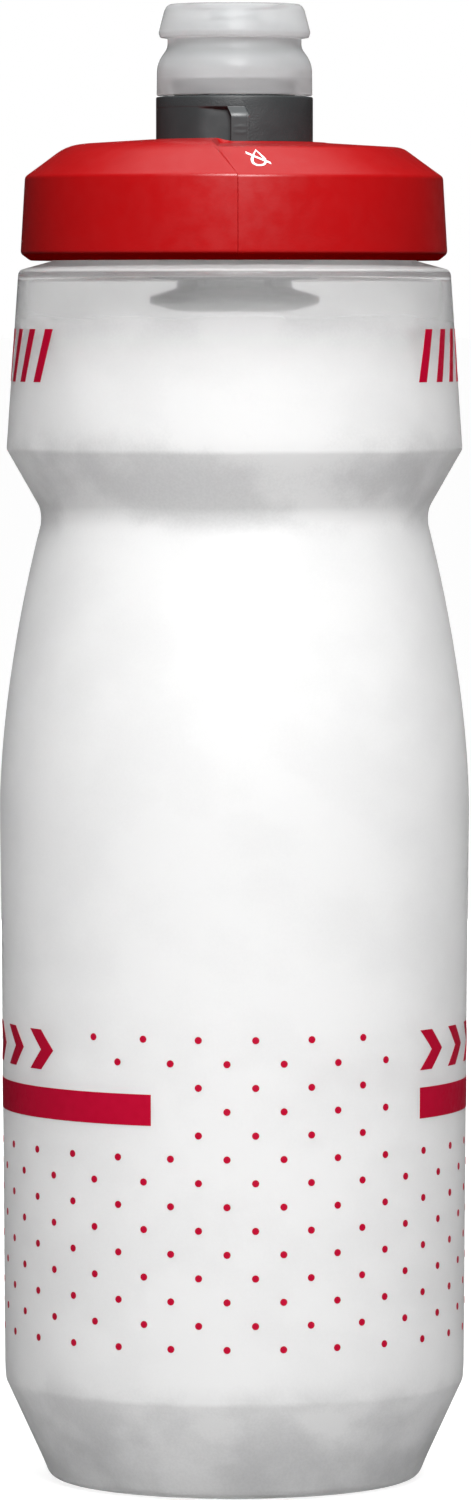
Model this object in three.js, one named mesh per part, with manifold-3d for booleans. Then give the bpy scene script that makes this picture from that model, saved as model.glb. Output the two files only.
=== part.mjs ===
// A 0.7 litre squeeze bottle for a bicycle's bottle cage, as a three.js scene graph of separate pieces.
//
// Millimetres, +Z up. The origin is the centre of the foot, on the surface the bottle stands on, and the
// front of the bottle faces -Y. From the bottom up: a blow-moulded body with a waist that the cage's tab
// drops into, a screw lid with its seal, and in the lid a quarter-turn shut-off valve. The valve is a cage
// that hangs under the lid and ends in a plate with two ports, a rubber port seal on that plate, and a rotor
// whose own two ports face the plate's blank sides while the valve is shut. A grip collar outside the lid
// turns the rotor, and a soft nozzle with a slit tip pushes on to the collar.

import * as THREE from "three";
import { mergeVertices } from "three/addons/utils/BufferGeometryUtils.js";
import Module from "manifold-3d";

const wasm = await Module();
wasm.setup();

// ---- Driving dimensions ----

// The body's outer wall from the foot up, as [radius, height].
const FOOT_INNER = [21.5, 0];
const FOOT_OUTER = [26.0, 0];
const BASE_LOW = [29.7, 2.3]; // where the foot's rounding ends
const BASE_CREASE = [35.9, 15.7];
const WALL_LOW = [36.05, 17.7];
const WALL_MID = [36.4, 68];
const WIDEST = [36.75, 105]; // a bottle cage holds a body 73 to 74 mm wide
const WAIST_LOW = [30.3, 149.8];
const WAIST_HIGH = [30.3, 151.8];
const FLARE_LOW = [32.4, 156.2];
const FLARE_HIGH = [34.9, 160.1];
const BAND_LOW = [35.6, 161.5];
const BAND_CREASE = [35.6, 162.3];
const SHOULDER = [33.8, 188.9];
const SHOULDER_TOP = [33.2, 189.5];
const NECK_R = 28.3;
const NECK_Z = 190.9; // foot of the neck
const LIP_Z = 203.0; // top of the neck
const NECK_BORE_R = 26.2;
const WALL = 1.2;
const PUSH_UP = 4.0; // how far the middle of the base is domed up

const THREAD_PITCH = 5.0;
const THREAD_TURNS = 1.375;
const THREAD_ROOT_HALF = 1.1; // half the ridge's height where it leaves the wall
const THREAD_CREST_HALF = 0.5;
const THREAD_SUNK = 0.4; // how deep the ridge starts inside the wall
const NECK_THREAD_CREST_R = 29.8;
const NECK_THREAD_START_Z = 193.6;
const LID_THREAD_CREST_R = 28.75;
const LID_THREAD_BELOW = 1.8; // the lid's ridge runs this far under the neck's
const LID_THREAD_START_TURN = 0.375;

const GAP = 0.3; // clearance between pieces that seat or turn on each other

const LID_BORE_R = 30.2;
const LID_BOTTOM_R = 33.2;
const LID_BOTTOM_Z = 190.9;
const LID_BOTTOM_BEVEL = 1.1;
const RIDGE_R = 32.3; // the ridge is where the skirt turns into the bevel
const RIDGE_Z = 203.9;
const DECK_EDGE_R = 26.4;
const DECK_EDGE_Z = 208.3;
const DECK_Z = 209.3; // the deck beside the collar
const RIM_FLAT_R = 14.2; // level ring round the collar, which the collar's ribs sweep over
const CEILING_Z = 205.0; // underside of the deck
const BOSS_WALL = 1.6; // the ring under the deck that holds the valve cage
const STEP_RISE = 0.5; // the deck climbs this much in one turn and drops back at the seam
const STEP_OUT = 0.3; // the skirt grows by this much in one turn
const STEP_ROUNDING = 1.6; // the deck's edge softens by this much in one turn
const SEAM_DEG = 2.0; // where the seam crosses the skirt, to the right of the front
const SEAM_LEAN_DEG = -6; // how far round it leans by the time it reaches the deck
const SEAM_WIDTH_DEG = 0.8;
const SEAL_INNER_R = 25.4;
const SEAL_OUTER_R = 28.4;

const COLLAR_R = 12.25;
const COLLAR_TOP_Z = 216.4;
const COLLAR_FLOOR_Z = 208.6; // bottom of the lid's recess for the collar
const CHIMNEY_R = 10.2; // the lid's spout tube, inside the collar
const CHIMNEY_TOP_Z = 214.2;
const SPIGOT_R = 10.0; // the nozzle pushes on to this
const SPIGOT_TOP_Z = 219.2;
const RIB_WIDTH = 2.75;
const RIB_DEG = 3.0; // the pointer rib stands just to the right of the front
const RIB_REACH_R = 13.15;
const RIB_SUNK = 1.3; // how deep a rib starts inside the collar
const RIB_BEVEL_Z = 213.3;
const LEDGE_Z = 215.1; // top of the ribs and of the finger scoops beside them
const SCOOP_DEPTH = 1.0;

const ROTOR_R = 8.2;
const ROTOR_BORE_R = 5.6;
const ROTOR_TOP_Z = 218.6;
const ROTOR_FLOOR = 1.4;
const PORT_INNER_R = 1.4;
const PORT_OUTER_R = 5.2;
const PORT_DEG = 80;
const PORT_SEAL = 1.3; // thickness
const PORT_PLATE = 2.0; // thickness
const PORT_PLATE_Z = 199.0;

const CAGE_R = 13.3;
const CAGE_WALL = 2.0;
const CAGE_STEM_R = 9.0;
const CAGE_STEM_BORE_R = 7.2;
const CAGE_BOTTOM_Z = 183.5;
const CAGE_DISC = 2.8; // thickness of the cage's bottom disc
const CAGE_BELL_Z = 190.8; // the stem has flared to the cage's full width here
const CAGE_WINDOW = 2.6; // height of the windows the drink enters by
const CAGE_WINDOW_DEG = 80;

const O_RING_CORD_R = 0.6;
const O_RING_GROOVE = 1.8; // height
const O_RING_GROOVE_DEPTH = 1.2;
const CAGE_O_RING_Z = 198.3;
const ROTOR_O_RING_Z = 211.2;

const NOZZLE_BOTTOM_Z = 216.6;
const NOZZLE_R = 12.15;
const NOZZLE_BORE_R = SPIGOT_R + 0.35;
const NOZZLE_NECK_R = 10.45; // the groove under the bite flange
const NOZZLE_NECK_Z = 225.4;
const FLANGE_R = 11.8;
const NOZZLE_TOP_Z = 230.85;
const TIP_FLOOR_R = 7.5;
const TIP_FLOOR_Z = 228.0; // underside of the slit floor
const TIP_FLOOR = 1.1;
const SLIT_LENGTH = 9;
const SLIT_WIDTH = 0.25;

const LARGE = 48; // facets round the big pieces
const SMALL = 32; // facets round the pieces of the valve

// ---- Helpers ----

const radians = THREE.MathUtils.degToRad;

// Angles run round from the front (-Y), towards +X.
const FRONT = -Math.PI / 2;

// A profile is a path of (radius, height) that runs up the outside of the piece and down its inside.
function lathe(profile, facets, divisions = 3) {
  const points = Array.isArray(profile) ? profile : profile.getPoints(divisions);
  const first = points[0];
  const onAxis = first.x < 1e-6;
  const closed = onAxis ? points : [...points.filter((p, i) => i === 0 || !p.equals(first)), first];
  return new THREE.LatheGeometry(closed, facets).rotateX(Math.PI / 2);
}

function oRing(radius, z) {
  return new THREE.TorusGeometry(radius, O_RING_CORD_R, 6, SMALL).translate(0, 0, z);
}

function toSolid(geometry) {
  const bare = geometry.clone();
  bare.deleteAttribute("normal");
  bare.deleteAttribute("uv");
  const merged = mergeVertices(bare, 1e-4);
  const corners = Array.from(merged.index.array);
  const kept = [];
  for (let i = 0; i < corners.length; i += 3) {
    const [a, b, c] = corners.slice(i, i + 3);
    if (a !== b && b !== c && c !== a) kept.push(a, b, c);
  }
  return new wasm.Manifold(
    new wasm.Mesh({
      numProp: 3,
      vertProperties: new Float32Array(merged.attributes.position.array),
      triVerts: new Uint32Array(kept),
    }),
  );
}

function toGeometry(solid) {
  const mesh = solid.getMesh();
  const geometry = new THREE.BufferGeometry();
  geometry.setAttribute("position", new THREE.BufferAttribute(mesh.vertProperties, 3));
  geometry.setIndex(new THREE.BufferAttribute(mesh.triVerts, 1));
  geometry.computeVertexNormals();
  return geometry;
}

// Moves every vertex of a geometry by a function of its angle, radius, height and index.
function reshape(geometry, move) {
  const position = geometry.attributes.position;
  for (let i = 0; i < position.count; i += 1) {
    const x = position.getX(i);
    const y = position.getY(i);
    const moved = move({ angle: Math.atan2(y, x), radius: Math.hypot(x, y), z: position.getZ(i), index: i });
    position.setXYZ(i, moved.radius * Math.cos(moved.angle), moved.radius * Math.sin(moved.angle), moved.z);
  }
  return geometry;
}

// A screw thread's ridge on a wall: a bar bent along a right-handed helix, with tapered ends.
function threadRidge(wallR, crestR, startZ, startTurn) {
  const steps = Math.round(THREAD_TURNS * LARGE);
  const inwards = crestR < wallR;
  const rootR = wallR + (inwards ? THREAD_SUNK : -THREAD_SUNK);
  const taper = 4 / steps;
  const bar = new THREE.BoxGeometry(1, 1, 1, steps, 1, 1);
  const position = bar.attributes.position;
  for (let i = 0; i < position.count; i += 1) {
    const along = position.getX(i) + 0.5;
    const atCrest = position.getY(i) > 0;
    const swell = Math.min(1, along / taper, (1 - along) / taper);
    const crest = wallR + (crestR - wallR) * (0.2 + 0.8 * swell);
    const turn = startTurn + along * THREAD_TURNS;
    const half = atCrest ? THREAD_CREST_HALF : THREAD_ROOT_HALF;
    // A ridge that points outwards is built upside down, so that its faces still point out of it.
    const side = Math.sign(position.getZ(i)) * (inwards ? 1 : -1);
    const angle = FRONT + turn * 2 * Math.PI;
    const radius = atCrest ? crest : rootR;
    const z = startZ + turn * THREAD_PITCH + side * half;
    position.setXYZ(i, radius * Math.cos(angle), radius * Math.sin(angle), z);
  }
  return toSolid(bar);
}

// A wedge of a ring, centred on an angle, for cutting windows and ports.
function sector(innerR, outerR, bottomZ, topZ, centreDeg, widthDeg) {
  const from = FRONT + radians(centreDeg - widthDeg / 2);
  const to = FRONT + radians(centreDeg + widthDeg / 2);
  const shape = new THREE.Shape();
  shape.absarc(0, 0, outerR, from, to, false);
  shape.absarc(0, 0, innerR, to, from, true);
  const depth = topZ - bottomZ;
  const cut = new THREE.ExtrudeGeometry(shape, { depth, bevelEnabled: false, curveSegments: 6 });
  return toSolid(cut.translate(0, 0, bottomZ));
}

// The two ports of a plate, cut a little past both of its faces.
function ports(bottomZ, topZ, firstDeg) {
  const past = 0.2;
  return [0, 180].map((turn) =>
    sector(PORT_INNER_R, PORT_OUTER_R, bottomZ - past, topZ + past, firstDeg + turn, PORT_DEG),
  );
}

function without(solid, cuts) {
  return cuts.reduce((left, cut) => left.subtract(cut), solid);
}

// ---- Bottle body ----

function bottleBody() {
  const profile = new THREE.Path();
  // Outside, from the middle of the base up to the lip.
  profile.moveTo(0, PUSH_UP);
  profile.quadraticCurveTo(15, PUSH_UP, ...FOOT_INNER);
  profile.lineTo(...FOOT_OUTER);
  profile.quadraticCurveTo(28.7, 0.1, ...BASE_LOW);
  profile.lineTo(...BASE_CREASE);
  profile.lineTo(...WALL_LOW);
  profile.lineTo(...WALL_MID);
  profile.lineTo(...WIDEST);
  profile.bezierCurveTo(WIDEST[0], 118, 34.1, 135, ...WAIST_LOW);
  profile.lineTo(...WAIST_HIGH);
  profile.quadraticCurveTo(30.8, 153.8, ...FLARE_LOW);
  profile.lineTo(...FLARE_HIGH);
  profile.lineTo(...BAND_LOW);
  profile.lineTo(...BAND_CREASE);
  profile.lineTo(...SHOULDER);
  profile.lineTo(...SHOULDER_TOP);
  profile.lineTo(NECK_R, NECK_Z);
  profile.lineTo(NECK_R, LIP_Z);
  // Inside, back down to the middle of the base.
  profile.lineTo(NECK_BORE_R, LIP_Z);
  profile.lineTo(NECK_BORE_R, NECK_Z - WALL);
  profile.lineTo(SHOULDER[0] - WALL, SHOULDER_TOP[1] - WALL);
  profile.lineTo(BAND_CREASE[0] - WALL, BAND_CREASE[1]);
  profile.lineTo(WAIST_HIGH[0] - WALL, WAIST_HIGH[1] + WALL);
  profile.lineTo(WAIST_LOW[0] - WALL, WAIST_LOW[1] - WALL);
  profile.bezierCurveTo(34.1 - WALL, 135, WIDEST[0] - WALL, 118, WIDEST[0] - WALL, WIDEST[1]);
  profile.lineTo(BASE_CREASE[0] - WALL, BASE_CREASE[1] + 0.5);
  profile.lineTo(BASE_LOW[0] - 1, BASE_LOW[1] + 0.7);
  profile.lineTo(FOOT_OUTER[0] - 1, WALL);
  profile.lineTo(FOOT_INNER[0], WALL + 0.3);
  profile.quadraticCurveTo(15, PUSH_UP + WALL, 0, PUSH_UP + WALL);
  const shell = toSolid(lathe(profile, LARGE, 5));
  return shell.add(threadRidge(NECK_R, NECK_THREAD_CREST_R, NECK_THREAD_START_Z, 0));
}

// ---- Lid ----

// The lid's section at one point of its turn: turned is 0 just past the seam and 1 just before it. Each
// point is [radius, height, lean], where lean is how much of the seam's slant that point takes.
function lidSection(turned) {
  const rise = STEP_RISE * turned;
  const out = STEP_OUT * turned;
  const outside = [
    [LID_BORE_R, LID_BOTTOM_Z, 0],
    [LID_BOTTOM_R - 1.4, LID_BOTTOM_Z, 0],
    [LID_BOTTOM_R + out, LID_BOTTOM_Z + LID_BOTTOM_BEVEL, 0],
    [RIDGE_R + 0.3 + out, RIDGE_Z - 0.5, 0],
    [RIDGE_R - 0.2 + out, RIDGE_Z + 0.2, 0.05],
    [DECK_EDGE_R + 0.9 - turned, DECK_EDGE_Z - 0.55 + rise * 0.8, 0.9],
    [DECK_EDGE_R - 0.4 - STEP_ROUNDING * turned, DECK_EDGE_Z + rise, 1],
    [RIM_FLAT_R + 0.6, DECK_Z - 0.1 + rise, 1],
    [RIM_FLAT_R, DECK_Z, 0],
    [COLLAR_R + GAP, DECK_Z, 0],
    [COLLAR_R + GAP, COLLAR_FLOOR_Z, 0],
    [CHIMNEY_R, COLLAR_FLOOR_Z, 0],
    [CHIMNEY_R, CHIMNEY_TOP_Z, 0],
  ];
  const bossR = CAGE_R + GAP;
  const bossBottomZ = CAGE_O_RING_Z - 1.1;
  const inside = [
    [ROTOR_R + GAP, CHIMNEY_TOP_Z, 0],
    [ROTOR_R + GAP, CEILING_Z, 0],
    [bossR, CEILING_Z, 0],
    [bossR, bossBottomZ, 0],
    [bossR + BOSS_WALL, bossBottomZ, 0],
    [bossR + BOSS_WALL + 0.3, CEILING_Z, 0],
    [SEAL_OUTER_R + 0.4, CEILING_Z, 0],
    [LID_BORE_R, LIP_Z - 0.8, 0],
  ];
  return [...outside, ...inside];
}

function lid() {
  const start = lidSection(0).map(([radius, z]) => new THREE.Vector2(radius, z));
  const rows = start.length + 1;
  // Each column of the lathe takes its own section, and the last one stands just short of the seam.
  const spread = (1 - SEAM_WIDTH_DEG / 360) * 2 * Math.PI;
  const shell = reshape(lathe(start, LARGE), ({ index }) => {
    const column = Math.floor(index / rows) % LARGE;
    const turned = column / (LARGE - 1);
    const [radius, z, lean] = lidSection(turned)[(index % rows) % start.length];
    return { radius, z, angle: FRONT + radians(SEAM_DEG + lean * SEAM_LEAN_DEG) + turned * spread };
  });
  const startZ = NECK_THREAD_START_Z - LID_THREAD_BELOW;
  return toSolid(shell).add(threadRidge(LID_BORE_R, LID_THREAD_CREST_R, startZ, LID_THREAD_START_TURN));
}

// A flat washer that the neck's lip presses into.
function lidSeal() {
  const bottomZ = LIP_Z + GAP;
  const profile = new THREE.Path();
  profile.moveTo(SEAL_INNER_R, bottomZ + 0.4);
  profile.lineTo(SEAL_INNER_R + 1, bottomZ);
  profile.lineTo(SEAL_OUTER_R, bottomZ);
  profile.lineTo(SEAL_OUTER_R, CEILING_Z - GAP);
  profile.lineTo(SEAL_INNER_R, CEILING_Z - GAP);
  profile.closePath();
  return toSolid(lathe(profile, LARGE));
}

// ---- Shut-off valve ----

// Adds an O-ring's groove to a profile that is on its way up at this radius.
function groove(profile, radius, z) {
  const half = O_RING_GROOVE / 2;
  profile.lineTo(radius, z - half);
  profile.lineTo(radius - O_RING_GROOVE_DEPTH, z - half);
  profile.lineTo(radius - O_RING_GROOVE_DEPTH, z + half);
  profile.lineTo(radius, z + half);
}

function valveCage() {
  const cupR = CAGE_R - CAGE_WALL;
  const discTopZ = CAGE_BOTTOM_Z + CAGE_DISC;
  const windowTopZ = discTopZ + CAGE_WINDOW;
  const profile = new THREE.Path();
  profile.moveTo(0, CAGE_BOTTOM_Z);
  profile.lineTo(CAGE_R - 1.2, CAGE_BOTTOM_Z);
  profile.quadraticCurveTo(CAGE_R, CAGE_BOTTOM_Z, CAGE_R, CAGE_BOTTOM_Z + CAGE_DISC / 2);
  profile.quadraticCurveTo(CAGE_R, discTopZ, CAGE_R - 1.2, discTopZ);
  profile.lineTo(CAGE_STEM_R, discTopZ);
  profile.lineTo(CAGE_STEM_R, windowTopZ - 1);
  profile.quadraticCurveTo(CAGE_STEM_R + 0.4, CAGE_BELL_Z - 0.8, CAGE_R, CAGE_BELL_Z);
  groove(profile, CAGE_R, CAGE_O_RING_Z);
  profile.lineTo(CAGE_R, CEILING_Z - GAP);
  profile.lineTo(cupR, CEILING_Z - GAP);
  profile.lineTo(cupR, PORT_PLATE_Z + PORT_PLATE);
  profile.lineTo(0, PORT_PLATE_Z + PORT_PLATE);
  const hollow = new THREE.Path();
  hollow.moveTo(0, discTopZ);
  hollow.lineTo(CAGE_STEM_BORE_R, discTopZ);
  hollow.lineTo(CAGE_STEM_BORE_R, windowTopZ + 1.5);
  hollow.lineTo(cupR, CAGE_BELL_Z + 2.2);
  hollow.lineTo(cupR, PORT_PLATE_Z - 2);
  hollow.lineTo(PORT_OUTER_R + 1, PORT_PLATE_Z);
  hollow.lineTo(0, PORT_PLATE_Z);
  const windows = [0, 180].map((turn) =>
    sector(CAGE_STEM_BORE_R - 1, CAGE_STEM_R + 1.5, discTopZ, windowTopZ, turn, CAGE_WINDOW_DEG),
  );
  const openings = ports(PORT_PLATE_Z, PORT_PLATE_Z + PORT_PLATE, 0);
  return without(toSolid(lathe(profile, SMALL)), [toSolid(lathe(hollow, SMALL)), ...windows, ...openings]);
}

function portSeal() {
  const bottomZ = PORT_PLATE_Z + PORT_PLATE + GAP;
  const radius = CAGE_R - CAGE_WALL - 0.5;
  const profile = new THREE.Path();
  profile.moveTo(0, bottomZ);
  profile.lineTo(radius, bottomZ);
  profile.lineTo(radius, bottomZ + PORT_SEAL);
  profile.lineTo(0, bottomZ + PORT_SEAL);
  return without(toSolid(lathe(profile, SMALL)), ports(bottomZ, bottomZ + PORT_SEAL, 0));
}

// A disc with two ports under a tube that leads up to the nozzle. The ports stand a quarter turn from the
// cage's ports, so the valve is shut at rest and open after 90 degrees.
function valveRotor() {
  const discZ = PORT_PLATE_Z + PORT_PLATE + PORT_SEAL + 2 * GAP;
  const discR = CAGE_R - CAGE_WALL - 0.4;
  const floorZ = discZ + ROTOR_FLOOR;
  const profile = new THREE.Path();
  profile.moveTo(0, discZ);
  profile.lineTo(discR, discZ);
  profile.lineTo(discR, CEILING_Z - GAP);
  profile.lineTo(ROTOR_R, CEILING_Z - GAP);
  groove(profile, ROTOR_R, ROTOR_O_RING_Z);
  profile.lineTo(ROTOR_R, ROTOR_TOP_Z);
  profile.lineTo(ROTOR_BORE_R, ROTOR_TOP_Z);
  profile.lineTo(ROTOR_BORE_R, floorZ);
  profile.lineTo(0, floorZ);
  return without(toSolid(lathe(profile, SMALL)), ports(discZ, floorZ, 90));
}

// ---- Grip collar ----

// The pointer rib, and its twin on the far side: a bar with a bevelled top, drawn from its side.
function rib(turnDeg) {
  const bottomZ = DECK_Z + GAP + 0.05;
  const side = new THREE.Shape();
  side.moveTo(COLLAR_R - RIB_SUNK, bottomZ);
  side.lineTo(RIB_REACH_R, bottomZ);
  side.lineTo(RIB_REACH_R, RIB_BEVEL_Z);
  side.lineTo(COLLAR_R, LEDGE_Z);
  side.lineTo(COLLAR_R - RIB_SUNK, LEDGE_Z);
  const bar = new THREE.ExtrudeGeometry(side, { depth: RIB_WIDTH, bevelEnabled: false });
  bar.translate(0, 0, -RIB_WIDTH / 2).rotateX(Math.PI / 2);
  bar.rotateZ(FRONT + radians(RIB_DEG + turnDeg));
  return toSolid(bar);
}

// The scoop beside a rib deepens over the half turn that leads up to it.
function scoopDepth(angle) {
  const past = THREE.MathUtils.euclideanModulo(angle - FRONT - radians(RIB_DEG), Math.PI) / Math.PI;
  return SCOOP_DEPTH * past ** 3;
}

function twistCollar() {
  const sleeveR = CHIMNEY_R + GAP;
  const innerR = ROTOR_R + GAP;
  const shelfZ = CHIMNEY_TOP_Z + 0.4;
  const profile = new THREE.Path();
  profile.moveTo(sleeveR, COLLAR_FLOOR_Z + GAP);
  profile.lineTo(COLLAR_R, COLLAR_FLOOR_Z + GAP);
  profile.lineTo(COLLAR_R, LEDGE_Z - GAP);
  profile.lineTo(COLLAR_R, LEDGE_Z);
  profile.lineTo(COLLAR_R, COLLAR_TOP_Z - 0.25);
  profile.lineTo(COLLAR_R - 0.25, COLLAR_TOP_Z);
  profile.lineTo(SPIGOT_R - 0.5, COLLAR_TOP_Z);
  profile.lineTo(SPIGOT_R - 0.5, SPIGOT_TOP_Z - 1.2);
  profile.lineTo(SPIGOT_R, SPIGOT_TOP_Z - 0.8);
  profile.lineTo(SPIGOT_R - 0.4, SPIGOT_TOP_Z);
  profile.lineTo(innerR, SPIGOT_TOP_Z);
  profile.lineTo(innerR, shelfZ);
  profile.lineTo(sleeveR, shelfZ);
  profile.closePath();
  const scooped = reshape(lathe(profile, LARGE), ({ angle, radius, z }) => {
    const scooping = radius > COLLAR_R - 0.1 && z < LEDGE_Z - GAP / 2;
    return { angle, z, radius: scooping ? radius - scoopDepth(angle) : radius };
  });
  return toSolid(scooped).add(rib(0)).add(rib(180));
}

// ---- Nozzle ----

function nozzle() {
  const profile = new THREE.Path();
  // From the slit floor's underside down the inside to the skirt's foot.
  profile.moveTo(0, TIP_FLOOR_Z);
  profile.lineTo(TIP_FLOOR_R, TIP_FLOOR_Z);
  profile.quadraticCurveTo(8.6, 227.6, 8.7, 224.2);
  profile.quadraticCurveTo(9.0, 222.8, NOZZLE_BORE_R, 221.0);
  profile.lineTo(NOZZLE_BORE_R, NOZZLE_BOTTOM_Z);
  // Up the outside: the skirt, the neck, the bite flange, and over its rolled rim to the dished tip.
  profile.lineTo(NOZZLE_R, NOZZLE_BOTTOM_Z);
  profile.lineTo(NOZZLE_R - 0.1, 220.4);
  profile.quadraticCurveTo(11.9, 222.0, 11.2, 223.0);
  profile.quadraticCurveTo(NOZZLE_NECK_R, 223.9, NOZZLE_NECK_R, NOZZLE_NECK_Z);
  profile.quadraticCurveTo(FLANGE_R, 225.7, FLANGE_R, 226.6);
  profile.lineTo(11.15, 229.5);
  profile.quadraticCurveTo(10.9, NOZZLE_TOP_Z, 9.6, NOZZLE_TOP_Z);
  profile.quadraticCurveTo(8.4, 230.7, TIP_FLOOR_R, TIP_FLOOR_Z + TIP_FLOOR + 0.3);
  profile.lineTo(0, TIP_FLOOR_Z + TIP_FLOOR);
  const slits = [45, 135].map((deg) => {
    const blade = new THREE.BoxGeometry(SLIT_LENGTH, SLIT_WIDTH, 4 * TIP_FLOOR);
    return toSolid(blade.translate(0, 0, TIP_FLOOR_Z + TIP_FLOOR / 2).rotateZ(radians(deg)));
  });
  return without(toSolid(lathe(profile, SMALL)), slits);
}

// ---- The assembly ----

const finishes = {
  clearPlastic: { color: 0xe9ebec, roughness: 0.45, transparent: true, opacity: 0.6 },
  softClear: { color: 0xd5d7d8, roughness: 0.6, transparent: true, opacity: 0.75 },
  redPlastic: { color: 0xb41414, roughness: 0.4 },
  greyPlastic: { color: 0x3c3e40, roughness: 0.55 },
  rubber: { color: 0xc9ccce, roughness: 0.7 },
};

function piece(name, shape, finish) {
  const material = new THREE.MeshStandardMaterial({ metalness: 0, ...finishes[finish] });
  const mesh = new THREE.Mesh(shape.isBufferGeometry ? shape : toGeometry(shape), material);
  mesh.name = name;
  return mesh;
}

const cageORingR = CAGE_R - O_RING_GROOVE_DEPTH + O_RING_CORD_R + 0.1;
const rotorORingR = ROTOR_R - O_RING_GROOVE_DEPTH + O_RING_CORD_R + 0.1;

const bottle = new THREE.Group();
bottle.add(
  piece("bottle_body", bottleBody(), "clearPlastic"),
  piece("lid", lid(), "redPlastic"),
  piece("lid_seal", lidSeal(), "rubber"),
  piece("valve_cage", valveCage(), "greyPlastic"),
  piece("cage_o_ring", oRing(cageORingR, CAGE_O_RING_Z), "rubber"),
  piece("port_seal", portSeal(), "rubber"),
  piece("valve_rotor", valveRotor(), "greyPlastic"),
  piece("rotor_o_ring", oRing(rotorORingR, ROTOR_O_RING_Z), "rubber"),
  piece("twist_collar", twistCollar(), "greyPlastic"),
  piece("nozzle", nozzle(), "softClear"),
);

export default bottle;
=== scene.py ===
"""Looks for a bicycle squeeze bottle: a frosted body with printed dots, a red screw lid, a dark grip
collar and a soft milky nozzle. Lengths are in millimetres and scaled by MM where a mesh is made; only the
stage's are in metres. Each piece's outer sizes come from its box in the CAD frame, and the rest are named
here. Angles are degrees round from the front, towards +X."""

import math

import bmesh
import bpy
import numpy as np
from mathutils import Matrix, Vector


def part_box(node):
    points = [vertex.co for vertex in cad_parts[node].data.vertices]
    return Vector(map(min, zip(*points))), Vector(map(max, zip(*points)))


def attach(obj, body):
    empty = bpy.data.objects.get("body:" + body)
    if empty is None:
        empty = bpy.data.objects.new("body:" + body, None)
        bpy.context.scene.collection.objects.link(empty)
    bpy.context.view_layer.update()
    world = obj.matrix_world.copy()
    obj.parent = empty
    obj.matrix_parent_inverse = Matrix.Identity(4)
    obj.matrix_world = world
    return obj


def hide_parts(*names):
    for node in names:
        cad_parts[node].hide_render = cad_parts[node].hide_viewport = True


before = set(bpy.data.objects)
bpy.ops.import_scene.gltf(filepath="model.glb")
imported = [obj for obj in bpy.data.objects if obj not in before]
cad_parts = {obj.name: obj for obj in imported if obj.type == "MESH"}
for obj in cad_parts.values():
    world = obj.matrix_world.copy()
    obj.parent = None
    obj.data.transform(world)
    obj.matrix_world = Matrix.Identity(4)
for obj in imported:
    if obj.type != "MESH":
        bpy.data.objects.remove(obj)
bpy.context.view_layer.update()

MM = 0.001
FRONT = -math.pi / 2  # the direction of -Y


# ---- Sizes from the frame ----


def top_of(node):
    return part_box(node)[1][2] / MM


def bottom_of(node):
    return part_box(node)[0][2] / MM


def radius_of(node):
    """Half of a node's width across X, which no seam or rib changes."""
    low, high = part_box(node)
    return (high[0] - low[0]) / 2 / MM


BODY_R = radius_of("bottle_body")
SHOULDER = (33.8, 188.9)  # outer edge of the body's shoulder, as (radius, height)
LIP_Z = top_of("bottle_body")
LID_BOTTOM_Z = bottom_of("lid")
CHIMNEY_TOP_Z = top_of("lid")
COLLAR_R = radius_of("twist_collar")
COLLAR_BOTTOM_Z = bottom_of("twist_collar")
LEDGE_Z = COLLAR_BOTTOM_Z + 5.8  # top of the collar's finger scoops
SPIGOT_TOP_Z = top_of("twist_collar")
NOZZLE_BOTTOM_Z = bottom_of("nozzle")
NOZZLE_TOP_Z = top_of("nozzle")
NOZZLE_R = radius_of("nozzle")
CAGE_R = radius_of("valve_cage")
CAGE_BOTTOM_Z = bottom_of("valve_cage")
CAGE_TOP_Z = top_of("valve_cage")
ROTOR_BOTTOM_Z = bottom_of("valve_rotor")
ROTOR_TOP_Z = top_of("valve_rotor")


# ---- Outlines ----


def curve(start, first, second, end, steps=24):
    """Points along a cubic curve, without its first."""
    spots = []
    handles = (start, first, second, end)
    for step in range(1, steps + 1):
        t = step / steps
        weights = ((1 - t) ** 3, 3 * t * (1 - t) ** 2, 3 * t * t * (1 - t), t**3)
        spots.append(sum(w * np.array(p, float) for w, p in zip(weights, handles)))
    return [tuple(s) for s in spots]


def straight(start, end, steps):
    """Points along a line, without its first."""
    start, end = np.array(start, float), np.array(end, float)
    return [tuple(start + (end - start) * k / steps) for k in range(1, steps + 1)]


def rounded(corners, steps=6, closed=False):
    """Points through corners, each (point, cut): a cut above 0 rounds the corner off from that far away."""
    points = []
    count = len(corners)
    for i, (point, cut) in enumerate(corners):
        here = np.array(point, float)
        if not cut or (not closed and i in (0, count - 1)):
            points.append(tuple(here))
            continue
        before = np.array(corners[i - 1][0], float) - here
        after = np.array(corners[(i + 1) % count][0], float) - here
        room = min(np.linalg.norm(before[:2]), np.linalg.norm(after[:2])) * 0.49
        cut = min(cut, room)
        start = here + before * cut / np.linalg.norm(before[:2])
        end = here + after * cut / np.linalg.norm(after[:2])
        for step in range(steps + 1):
            t = step / steps
            points.append(tuple(start * (1 - t) ** 2 + here * 2 * t * (1 - t) + end * t * t))
    return points


# ---- Meshes ----


def make_piece(name, body, material, points, faces, replaces=(), sharp=32):
    """An object from points in millimetres that rides on a CAD body."""
    mesh = bpy.data.meshes.new(name)
    mesh.from_pydata((np.asarray(points, float) * MM).tolist(), [], [list(map(int, f)) for f in faces])
    mesh.validate()
    piece = bpy.data.objects.new(name, mesh)
    bpy.context.scene.collection.objects.link(piece)
    weld(mesh)
    mesh.shade_smooth()
    mesh.set_sharp_from_angle(angle=math.radians(sharp))
    mesh.materials.append(material)
    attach(piece, body)
    if replaces:
        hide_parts(*replaces)
    return piece


def weld(mesh):
    """Joins points that coincide, drops faces with no area and turns every face outwards."""
    work = bmesh.new()
    work.from_mesh(mesh)
    bmesh.ops.remove_doubles(work, verts=work.verts, dist=1e-7)
    bmesh.ops.dissolve_degenerate(work, edges=work.edges, dist=1e-8)
    bmesh.ops.recalc_face_normals(work, faces=work.faces)
    work.to_mesh(mesh)
    work.free()


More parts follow.
